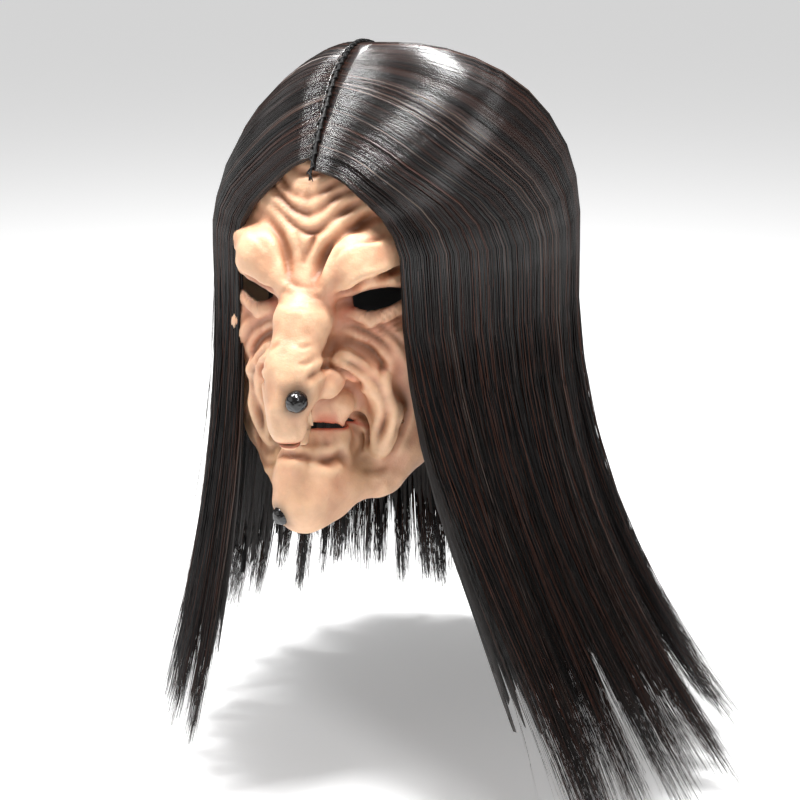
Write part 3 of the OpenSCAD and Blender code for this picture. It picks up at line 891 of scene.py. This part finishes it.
def tubes(name, paths, width, tones):
    """Three-sided strands along the paths. Their flat side faces the head."""
    count, steps, _ = paths.shape
    along = np.gradient(paths, axis=1)
    along /= np.linalg.norm(along, axis=2)[..., None]
    centre = np.array([0.0, HAIR_MID_Y, -20.0])
    outward = paths - centre
    outward[..., 2] *= 0.15
    outward -= (outward * along).sum(2)[..., None] * along
    outward /= np.linalg.norm(outward, axis=2)[..., None]
    across = np.cross(along, outward)
    t = np.linspace(0, 1, steps)
    profile = (0.55 + 0.45 * smooth(t / 0.1)) * (1 - 0.75 * smooth((t - 0.72) / 0.28))
    half = (width[:, None] * profile[None, :] / 2)[..., None]
    ring = [paths + outward * half * 0.8, paths - across * half - outward * half * 0.25,
            paths + across * half - outward * half * 0.25]
    vertices = np.stack(ring, axis=2).reshape(-1, 3)
    base = (np.arange(count)[:, None] * steps + np.arange(steps - 1)[None, :]).reshape(-1) * 3
    faces = []
    for k in range(3):
        n = (k + 1) % 3
        faces.append(np.stack([base + k, base + n, base + 3 + n, base + 3 + k], axis=1))
    quads = np.stack(faces, axis=1).reshape(-1, 4)
    first = np.arange(count) * steps * 3
    last = first + (steps - 1) * 3
    caps = np.vstack([np.stack([first, first + 2, first + 1], 1), np.stack([last, last + 1, last + 2], 1)])
    mesh = bpy.data.meshes.new(name)
    mesh.vertices.add(len(vertices))
    mesh.vertices.foreach_set("co", (vertices * MM).astype(np.float32).ravel())
    mesh.loops.add(quads.size + caps.size)
    mesh.loops.foreach_set("vertex_index",
                           np.concatenate([quads.ravel(), caps.ravel()]).astype(np.int32))
    mesh.polygons.add(len(quads) + len(caps))
    starts = np.concatenate([np.arange(len(quads)) * 4, quads.size + np.arange(len(caps)) * 3])
    mesh.polygons.foreach_set("loop_start", starts.astype(np.int32))
    slots = np.concatenate([np.repeat(tones, (steps - 1) * 3), tones, tones])
    mesh.polygons.foreach_set("material_index", slots.astype(np.int32))
    mesh.polygons.foreach_set("use_smooth", np.ones(len(quads) + len(caps), bool))
    mesh.update(calc_edges=True)
    made = bpy.data.objects.new(name, mesh)
    bpy.context.scene.collection.objects.link(made)
    return made


def hang(made, side, *nodes):
    """A hair piece gets its placement baked into its mesh, and stands for CAD nodes, which are hidden."""
    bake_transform(made)
    if nodes:
        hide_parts(*nodes)
    return made


def side_strands(side, settings, materials, rng):
    low, high = SIDES[side]
    share = (high - low) / 300
    count = int(settings.strand_count * share)
    angle = rng.uniform(low + 0.2, high - 0.2, count)
    layer = rng.power(1.3, count) * 0.97
    layer = 1 - layer
    clump_count = int((high - low) / 1.9)
    middles = np.sort(rng.uniform(low, high, clump_count))
    tips = np.interp(middles, HINGE_ANGLES, TIP_ANGLES) + rng.normal(0, 0.9, clump_count)
    outs = rng.normal(-1, 6, clump_count)
    longs = 1 - np.abs(rng.normal(0, 0.075, clump_count))
    tone_lean = rng.uniform(0, 1, clump_count)
    mine = np.abs(angle[:, None] - middles[None, :] + rng.normal(0, 0.5, (count, 1))).argmin(1)
    pull = clamp01(rng.normal(0.62, 0.2, count))
    clump = (pull, tips[mine] + rng.normal(0, 0.35, count), outs[mine] + rng.normal(0, 1.6, count),
             longs[mine] * (1 - np.abs(rng.normal(0, 0.085, count))))
    loose = rng.uniform(size=count) < settings.stray_share
    turn = rng.normal(0, 0.9, count) + loose * rng.normal(0, 4.5, count)
    lift = loose * rng.normal(3, 6, count)
    stray = (turn, lift, np.where(loose, rng.uniform(0.8, 1.01, count), 1.0))
    paths = strand_paths(angle, layer, rng, stray, clump)
    paths[..., 2] = np.maximum(paths[..., 2], -HAIR_DROP)
    width = settings.strand_width / MM * rng.uniform(0.6, 1.35, count) * np.where(loose, 0.6, 1.0)
    pick = rng.uniform(size=count) * 0.8 + tone_lean[mine] * 0.2
    tones = np.searchsorted((0.40, 0.70, 0.88, 0.975), pick)
    per_piece = 1750
    made = []
    pieces = math.ceil(count / per_piece)
    order = rng.permutation(count)
    for k in range(pieces):
        chosen = order[k::pieces]
        strands = tubes(f"{side}_strands_{k + 1}", paths[chosen], width[chosen], tones[chosen])
        for material in materials:
            strands.data.materials.append(material)
        made.append(hang(strands, side))
    return made


def side_mass(side, rng, material, nodes):
    """The dense mass under the strands: a thin closed sheet that ends in ragged points."""
    low, high = SIDES[side]
    cols = int((high - low) * 2.2)
    angle = np.linspace(low, high, cols)
    flow = np.cumsum(rng.normal(0, 1, cols))
    ridge = 0.5 + 0.5 * np.sin(angle * 2.3 + flow * 0.35) * np.cos(angle * 0.9)
    steady = np.random.default_rng(3)
    ends = 0.62 + 0.16 * ridge + rng.uniform(-0.06, 0.06, cols)
    sheets = []
    edge = np.minimum(smooth((angle - low) / 3 + 0.3), smooth((high - angle) / 3 + 0.3))
    for under in (0.3, 0.66):
        layer = under + 0.12 * ridge + (1 - edge) * (0.2 if under < 0.5 else 0)
        stray = (0 * angle, -9.0 + 0 * angle, ends)
        sheets.append(strand_paths(angle, layer, steady, stray))
    outer, inner = sheets
    inner[:, :2] = mix(outer[:, :2], inner[:, :2], 0.5)
    steps = outer.shape[1]
    vertices = np.concatenate([outer.reshape(-1, 3), inner.reshape(-1, 3)])
    offset = cols * steps

    def at(i, j):
        return i * steps + j

    faces = []
    for i in range(cols - 1):
        for j in range(steps - 1):
            quad = [at(i, j), at(i, j + 1), at(i + 1, j + 1), at(i + 1, j)]
            faces.append(quad)
            faces.append([offset + q for q in reversed(quad)])
    for i in range(cols - 1):
        for j, flip in ((0, False), (steps - 1, True)):
            quad = [at(i, j), at(i + 1, j), offset + at(i + 1, j), offset + at(i, j)]
            faces.append(quad[::-1] if flip else quad)
    for j in range(steps - 1):
        for i, flip in ((0, True), (cols - 1, False)):
            quad = [at(i, j), at(i, j + 1), offset + at(i, j + 1), offset + at(i, j)]
            faces.append(quad[::-1] if flip else quad)
    made = mesh_object(f"{side}_hair_mass", vertices * MM, faces, material)
    columns = np.repeat(np.arange(cols) / 100, steps)
    rows = np.tile(np.linspace(0, 1, steps), cols)
    per_vertex = np.tile(np.column_stack([columns, rows]), (2, 1))
    set_uv(made, "Flow", per_vertex)
    turn_outward(made.data)
    return hang(made, side, *nodes)


# ---------------------------------------------------------------- cap, tapes and strap

NAPE_LIFT = -math.asin(62 / NET[2])
DEGREE_OF_CAP = NET[2] * math.pi / 180


def seam_lift(angle):
    """The lift at which the seam between latex and cap crosses a meridian, in radians."""
    seam_slope = (EAR[0] - SEAM_TOP[0]) / (SEAM_TOP[1] - EAR[1])
    run, reach = seam_slope * NET[2], NET[1] * np.sin(angle)
    return np.arcsin((EAR[0] + seam_slope * EAR[1] + 1.5) / np.hypot(run, reach)) - np.arctan2(reach, run)


def edge_lift(angle):
    return np.maximum(NAPE_LIFT, seam_lift(angle))


def on_cap(angle, lift, level):
    size = NET + level
    return np.stack([size[0] * np.cos(lift) * np.cos(angle), size[1] * np.cos(lift) * np.sin(angle),
                     size[2] * np.sin(lift)], axis=-1)


def woven_material(name, dark, light, threads, roughness=0.8):
    """Cloth whose threads run along and across its own UV map, in millimetres."""
    material, tree, shader = new_material(name)
    weave = add_node(tree, "ShaderNodeUVMap", uv_map="Weave")
    waves = []
    for direction, count in zip("XY", threads):
        wave = add_node(tree, "ShaderNodeTexWave", bands_direction=direction)
        wave.inputs["Scale"].default_value = count * math.pi / 20
        wave.inputs["Distortion"].default_value = 0.35
        tree.links.new(weave.outputs["UV"], wave.inputs["Vector"])
        waves.append(wave.outputs["Fac"])
    height = add_node(tree, "ShaderNodeMath", operation="MULTIPLY")
    tree.links.new(waves[0], height.inputs[0])
    tree.links.new(waves[1], height.inputs[1])
    worn = add_node(tree, "ShaderNodeMath", operation="MULTIPLY")
    tree.links.new(height.outputs["Value"], worn.inputs[0])
    tree.links.new(object_noise(tree, 60, 4), worn.inputs[1])
    ramp = add_node(tree, "ShaderNodeValToRGB")
    ramp.color_ramp.elements[0].color = (*dark, 1)
    ramp.color_ramp.elements[1].position = 0.6
    ramp.color_ramp.elements[1].color = (*light, 1)
    tree.links.new(worn.outputs["Value"], ramp.inputs["Fac"])
    tree.links.new(ramp.outputs["Color"], shader.inputs["Base Color"])
    shader.inputs["Roughness"].default_value = roughness
    shader.inputs["Sheen Weight"].default_value = 0.15
    bump_from(tree, shader, height.outputs["Value"], 0.8, 0.0006)
    return material


def ring_faces(rows, cols, offset=0):
    """Quads of a grid whose rows close on themselves, and the fans that close its two ends."""
    j, i = np.meshgrid(np.arange(rows - 1), np.arange(cols), indexing="ij")
    n = (i + 1) % cols
    quads = np.stack([j * cols + i, j * cols + n, (j + 1) * cols + n, (j + 1) * cols + i], -1)
    ends = []
    for k in range(cols // 2 - 1):
        a, b = k, cols - 1 - k
        ends.append([a, b, b - 1, a + 1])
        last = (rows - 1) * cols
        ends.append([last + a + 1, last + b - 1, last + b, last + a])
    return np.vstack([quads.reshape(-1, 4), ends]) + offset


def ribbon(centres, normals, across, width, thick, waviness, seed):
    """A closed band of webbing along a line: its corners, its quads and its weave's UV places."""
    steps = len(centres)
    half_w, half_t = width / 2, thick / 2
    lanes = np.linspace(-1, 1, 7) * (half_w - 0.45 * thick)
    profile = [(x, half_t) for x in lanes] + [(half_w, 0.2 * thick), (half_w, -0.2 * thick)]
    profile += [(x, -half_t) for x in lanes[::-1]] + [(-half_w, -0.2 * thick), (-half_w, 0.2 * thick)]
    profile = np.array(profile)
    wave = waviness * ripple(centres, 26, seed)
    ruffle = waviness * ripple(centres + 50, 9, seed + 1)
    out, weave = [], []
    length = np.concatenate([[0], np.cumsum(np.linalg.norm(np.diff(centres, axis=0), axis=1))])
    for x, t in profile:
        edge = abs(x) / half_w
        out.append(centres + across * x + normals * (t + wave * 0.5 + ruffle * edge**2)[:, None])
        weave.append(np.column_stack([length, np.full(steps, x)]))
    vertices = np.stack(out, axis=1).reshape(-1, 3)
    return vertices, ring_faces(steps, len(profile)), np.stack(weave, axis=1).reshape(-1, 2)


def cap_band(angles, low, high, level, thick, seed, share=None):
    """A band sewn round the cap between two lifts above its edge, or above a share of its height."""
    a = np.radians(angles)
    base = edge_lift(a) if share is None else mix(edge_lift(a), math.pi / 2, share)
    bottom = on_cap(a, base + math.radians(low), level + thick / 2)
    top = on_cap(a, base + math.radians(high), level + thick / 2)
    centres = (bottom + top) / 2
    across = top - bottom
    width = np.linalg.norm(across, axis=1).mean()
    across /= np.linalg.norm(across, axis=1)[:, None]
    normals = centres / NET**2
    normals /= np.linalg.norm(normals, axis=1)[:, None]
    return ribbon(centres, normals, across, width - 0.4, thick, 0.12, seed)


def sewn_piece(name, parts, material, slot, *nodes):
    """One piece made of several bands, which stands for the CAD nodes."""
    vertices, faces, weave, count = [], [], [], 0
    for part_vertices, part_faces, part_weave in parts:
        vertices.append(part_vertices)
        faces.append(part_faces + count)
        weave.append(part_weave)
        count += len(part_vertices)
    made = mesh_object(name, np.vstack(vertices) * MM, np.vstack(faces), material)
    set_uv(made, "Weave", np.vstack(weave))
    turn_outward(made.data)
    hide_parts(*nodes)
    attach(made, "root")
    return made


def build_cap():
    """The stretch net: a thin shell over the cap's form, slightly uneven as worn net is."""
    rows, cols = 30, 144
    angle = np.linspace(0, 2 * math.pi, cols, endpoint=False)[None, :]
    share = np.linspace(0, 0.985, rows)[:, None]
    lift = mix(edge_lift(angle), math.pi / 2, share)
    angle = np.broadcast_to(angle, lift.shape)
    uneven = 0.18 * ripple(on_cap(angle, lift, 0).reshape(-1, 3), 14, 41)
    shells = []
    for level in (0.0, -NET_THICKNESS):
        shells.append(on_cap(angle, lift, level).reshape(-1, 3) * (1 + uneven[:, None] / 100))
    count = rows * cols
    j, i = np.meshgrid(np.arange(rows - 1), np.arange(cols), indexing="ij")
    n = (i + 1) % cols
    outer = np.stack([j * cols + i, j * cols + n, (j + 1) * cols + n, (j + 1) * cols + i], -1).reshape(-1, 4)
    ring = np.arange(cols)
    after = (ring + 1) % cols
    low_rim = np.stack([ring, ring + count, after + count, after], 1)
    high = (rows - 1) * cols
    high_rim = np.stack([high + ring, high + after, high + after + count, high + ring + count], 1)
    faces = np.vstack([outer, outer[:, ::-1] + count, low_rim, high_rim])
    weave = np.column_stack([np.degrees(angle).ravel(), np.degrees(lift).ravel()]) * DEGREE_OF_CAP
    return np.vstack(shells), faces, np.vstack([weave, weave])


def strap_line():
    """Centres and outward normals along the elastic strap, from the wearer's right round to the left."""
    bend = STRAP_HALF - STRAP_STRAIGHT
    bend_y = STRAP_BACK - bend
    left = [((STRAP_HALF, y), (1, 0)) for y in np.linspace(STRAP_FRONT, bend_y, 18, endpoint=False)]
    for a in np.linspace(0, math.pi / 2, 16):
        way = (math.cos(a), math.sin(a))
        left.append(((STRAP_STRAIGHT + bend * way[0], bend_y + bend * way[1]), way))
    across = np.linspace(STRAP_STRAIGHT, -STRAP_STRAIGHT, 22)[1:-1]
    middle = [((x, STRAP_BACK), (0, 1)) for x in across]
    right = [((-x, y), (-nx, ny)) for (x, y), (nx, ny) in reversed(left)]
    line = left + middle + right
    centres = np.array([(x, y, STRAP_Z) for (x, y), _ in line])
    normals = np.array([(x, y, 0.0) for _, (x, y) in line])
    return centres + normals * STRAP_THICKNESS / 2, normals


def strap_patch(side):
    """The reinforcing patch that lies inside an end of the strap."""
    steps = 16
    x = side * (STRAP_HALF - 0.9)
    y = np.linspace(STRAP_FRONT - 6, STRAP_FRONT + 18, steps)
    centres = np.column_stack([np.full(steps, x), y, np.full(steps, STRAP_Z)])
    outward = np.tile([side, 0.0, 0.0], (steps, 1))
    upright = np.tile([0.0, 0.0, 1.0], (steps, 1))
    return ribbon(centres, outward, upright, STRAP_WIDTH + 6, TAPE_THICKNESS, 0.0, 5)


def build_parting(material):
    """The black thread that closes the parting, in crossing stitches over a thin cord."""
    def along(tilt, aside):
        tilt = np.radians(np.asarray(tilt, float))
        place = crown_point(0 * tilt, -np.cos(tilt), np.sin(tilt), 1.0 + 0 * tilt, 1.0)
        place[..., 0] += aside - part_half(place[..., 1])
        return place

    cord = along(np.linspace(26, 112, 40), 0)[None]
    strands = [tubes("parting_cord", cord, np.array([2.4]), np.zeros(1, int))]
    stitches = []
    for k, tilt in enumerate(np.linspace(27, 108, 44)):
        lean = 1.3 if k % 2 else -1.3
        half = np.linspace(-1, 1, 5)
        stitch = along(tilt + lean * half, 2.1 * half)
        stitch[:, 2] += 1.2 - 1.1 * half**2
        stitches.append(stitch)
    widths = np.full(len(stitches), 1.1)
    strands.append(tubes("stitches", np.array(stitches), widths, np.zeros(len(stitches), int)))
    for made in strands:
        made.data.materials.append(material)
        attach(made, "root")
    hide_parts("parting_stitches")


# ---------------------------------------------------------------- add-on


class HagMaskSettings(bpy.types.PropertyGroup):
    latex_thickness: bpy.props.FloatProperty(
        name="Latex Thickness", description="Thickness of the latex", default=0.0022,
        min=0.0015, max=0.0035, subtype="DISTANCE", unit="LENGTH")
    face_detail: bpy.props.FloatProperty(
        name="Face Detail", description="Size of the quads that the face is sculpted from",
        default=0.0013, min=0.001, max=0.004, subtype="DISTANCE", unit="LENGTH")
    wrinkle_depth: bpy.props.FloatProperty(
        name="Wrinkle Depth", description="Depth of the wrinkles, as a share of the usual depth",
        default=1.0, min=0.0, max=1.5, subtype="FACTOR")
    strand_count: bpy.props.IntProperty(
        name="Strands", description="Number of modelled strands of hair", default=13000,
        min=500, max=15000)
    strand_width: bpy.props.FloatProperty(
        name="Strand Width", description="Usual width of a strand of hair", default=0.00062,
        min=0.0004, max=0.002, subtype="DISTANCE", unit="LENGTH")
    stray_share: bpy.props.FloatProperty(
        name="Stray Hair", description="Share of the strands that stand away from their lock",
        default=0.07, min=0.0, max=0.3, subtype="FACTOR")


class HAG_OT_face(bpy.types.Operator):
    """Sculpt the latex face"""

    bl_idname = "hag_mask.face"
    bl_label = "Latex Face"

    def execute(self, context):
        build_face(context.scene.hag_mask)
        return {"FINISHED"}


class HAG_OT_warts(bpy.types.Operator):
    """Add the wart on the nose and the wart on the chin"""

    bl_idname = "hag_mask.warts"
    bl_label = "Warts"

    def execute(self, context):
        build_wart("wart_on_nose", NOSE_WART, 6.0, "nose_wart")
        build_wart("wart_on_chin", CHIN_WART, 5.5, "chin_wart")
        return {"FINISHED"}


class HAG_OT_hair(bpy.types.Operator):
    """Lay the hair from the parting over the crown and down on both sides and the back"""

    bl_idname = "hag_mask.hair"
    bl_label = "Hair"

    def execute(self, context):
        settings = context.scene.hag_mask
        materials = [strand_material(*tone) for tone in HAIR_TONES]
        mass = hair_mass_material()
        nodes = {
            "left": ["crown_hair_left", "front_lock_left", "side_lock_left", "rear_lock_left"],
            "back": ["back_lock_left", "back_lock_middle", "back_lock_right"],
            "right": ["crown_hair_right", "front_lock_right", "side_lock_right"],
        }
        for k, side in enumerate(SIDES):
            rng = np.random.default_rng(100 + k)
            side_mass(side, rng, mass, nodes[side])
            side_strands(side, settings, materials, rng)
        return {"FINISHED"}


class HAG_OT_fittings(bpy.types.Operator):
    """Finish the cap, its tapes, the parting and the elastic strap"""

    bl_idname = "hag_mask.fittings"
    bl_label = "Cap and Strap"

    def execute(self, context):
        net = woven_material("Cap net", (0.004, 0.004, 0.004), (0.03, 0.028, 0.027), (12, 12), 0.85)
        tape = woven_material("Sewn tape", (0.006, 0.005, 0.005), (0.035, 0.03, 0.028), (14, 18))
        elastic = woven_material("Elastic webbing", (0.005, 0.005, 0.006), (0.04, 0.04, 0.042), (9, 12), 0.7)
        thread = plain_material("Stitch thread", (0.004, 0.0035, 0.0035), 0.55, 0.4, (900, 0.0004))
        plastic = plain_material("Adjuster plastic", (0.008, 0.008, 0.008), 0.3, 0.5, (400, 0.0002))
        sewn_piece("cap_net", [build_cap()], net, "net", "wig_cap")
        fine = np.linspace(-180, 0, 90)
        band = cap_band(fine, -3, 3, 1.8, TAPE_THICKNESS, 51)
        sewn_piece("tape_at_hairline", [band], tape, "tape", "hairline_tape")
        fine = np.linspace(60, 120, 40)
        band = cap_band(fine, 0, 6, 0.4, TAPE_THICKNESS, 52)
        sewn_piece("band_at_nape", [band], elastic, "elastic", "nape_band")
        fine = np.linspace(-70, 250, 150)
        high = WEFT_WIDTH / DEGREE_OF_CAP
        rows = [cap_band(fine, 0, high, 0.4, TAPE_THICKNESS, 60 + k, WEFT_START + WEFT_STEP * k)
                for k in range(WEFT_COUNT)]
        wefts = [f"weft_{k + 1}" for k in range(WEFT_COUNT)]
        sewn_piece("weft_tapes", rows, tape, "tape", *wefts)
        centres, normals = strap_line()
        upright = np.tile([0.0, 0.0, 1.0], (len(centres), 1))
        webbing = ribbon(centres, normals, upright, STRAP_WIDTH, STRAP_THICKNESS, 0.0, 53)
        sewn_piece("strap_webbing", [webbing], elastic, "elastic", "elastic_strap")
        for side, name in ((1, "left"), (-1, "right")):
            sewn_piece(f"patch_{name}", [strap_patch(side)], tape, "tape", f"strap_patch_{name}")
        build_parting(thread)
        for name, material in (("parting_strip", thread), ("strap_slider", plastic)):
            made = bpy.data.objects[name]
            made.data.materials.clear()
            made.data.materials.append(material)
        return {"FINISHED"}


class HAG_OT_stage(bpy.types.Operator):
    """Set the floor, the lights and the camera"""

    bl_idname = "hag_mask.stage"
    bl_label = "Stage"

    def execute(self, context):
        floor_z = -0.331
        bpy.ops.mesh.primitive_plane_add(size=30, location=(0, 0, floor_z))
        floor = context.active_object
        floor.name = "floor"
        cloth = plain_material("Floor", (0.9, 0.9, 0.9), 0.9, 0.1)
        shader = cloth.node_tree.nodes["Principled BSDF"]
        shader.inputs["Emission Color"].default_value = (1, 1, 1, 1)
        shader.inputs["Emission Strength"].default_value = 0.3
        floor.data.materials.append(cloth)
        lamps = []
        for name, kind, place, power in (
                ("key", "SUN", (1.2, -0.9, 1.3), 0.7), ("fill", "SUN", (-1.4, -1.0, 0.9), 0.4),
                ("top", "AREA", (0.2, -0.14, 1.25), 30), ("side", "AREA", (-0.45, -0.2, 1.1), 19)):
            light = bpy.data.lights.new(name, kind)
            light.energy = power
            if kind == "SUN":
                light.angle = math.radians(16 if name == "key" else 40)
            else:
                light.size = 0.3
            lamps.append(bpy.data.objects.new(name, light))
            lamps[-1].location = place
        for lamp in lamps:
            way = Vector((0, 0, 0.02)) - lamp.location
            lamp.rotation_euler = way.to_track_quat("-Z", "Y").to_euler()
            context.scene.collection.objects.link(lamp)
        world = bpy.data.worlds.new("Studio")
        world.use_nodes = True
        tree = world.node_tree
        seen = add_node(tree, "ShaderNodeLightPath")
        strength = add_node(tree, "ShaderNodeMix", data_type="FLOAT")
        strength.inputs[2].default_value = 0.2
        strength.inputs[3].default_value = 1.0
        tree.links.new(seen.outputs["Is Camera Ray"], strength.inputs[0])
        tree.links.new(strength.outputs[0], tree.nodes["Background"].inputs["Strength"])
        tree.nodes["Background"].inputs["Color"].default_value = (1, 1, 1, 1)
        context.scene.world = world
        lens = bpy.data.cameras.new("camera")
        lens.lens = 59.4
        camera = bpy.data.objects.new("camera", lens)
        camera.location = (0.267, -0.732, 0.180)
        aim = Vector((0.023, -0.013, -0.086))
        camera.rotation_euler = (aim - camera.location).to_track_quat("-Z", "Y").to_euler()
        context.scene.collection.objects.link(camera)
        context.scene.camera = camera
        context.scene.view_settings.view_transform = "Standard"
        return {"FINISHED"}


class HAG_PT_panel(bpy.types.Panel):
    bl_idname = "HAG_PT_panel"
    bl_label = "Hag Mask"
    bl_space_type = "VIEW_3D"
    bl_region_type = "UI"
    bl_category = "Hag Mask"

    def draw(self, context):
        settings = context.scene.hag_mask
        for name in HagMaskSettings.__annotations__:
            self.layout.prop(settings, name)
        for operator in OPERATORS:
            self.layout.operator(operator.bl_idname)


OPERATORS = (HAG_OT_face, HAG_OT_warts, HAG_OT_hair, HAG_OT_fittings, HAG_OT_stage)
CLASSES = (HagMaskSettings, *OPERATORS, HAG_PT_panel)


def register():
    for item in CLASSES:
        bpy.utils.register_class(item)
    bpy.types.Scene.hag_mask = bpy.props.PointerProperty(type=HagMaskSettings)


def unregister():
    del bpy.types.Scene.hag_mask
    for item in reversed(CLASSES):
        bpy.utils.unregister_class(item)


def main():
    register()
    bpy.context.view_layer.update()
    for step in ("face", "warts", "hair", "fittings", "stage"):
        getattr(bpy.ops.hag_mask, step)()


if __name__ == "__main__":
    main()
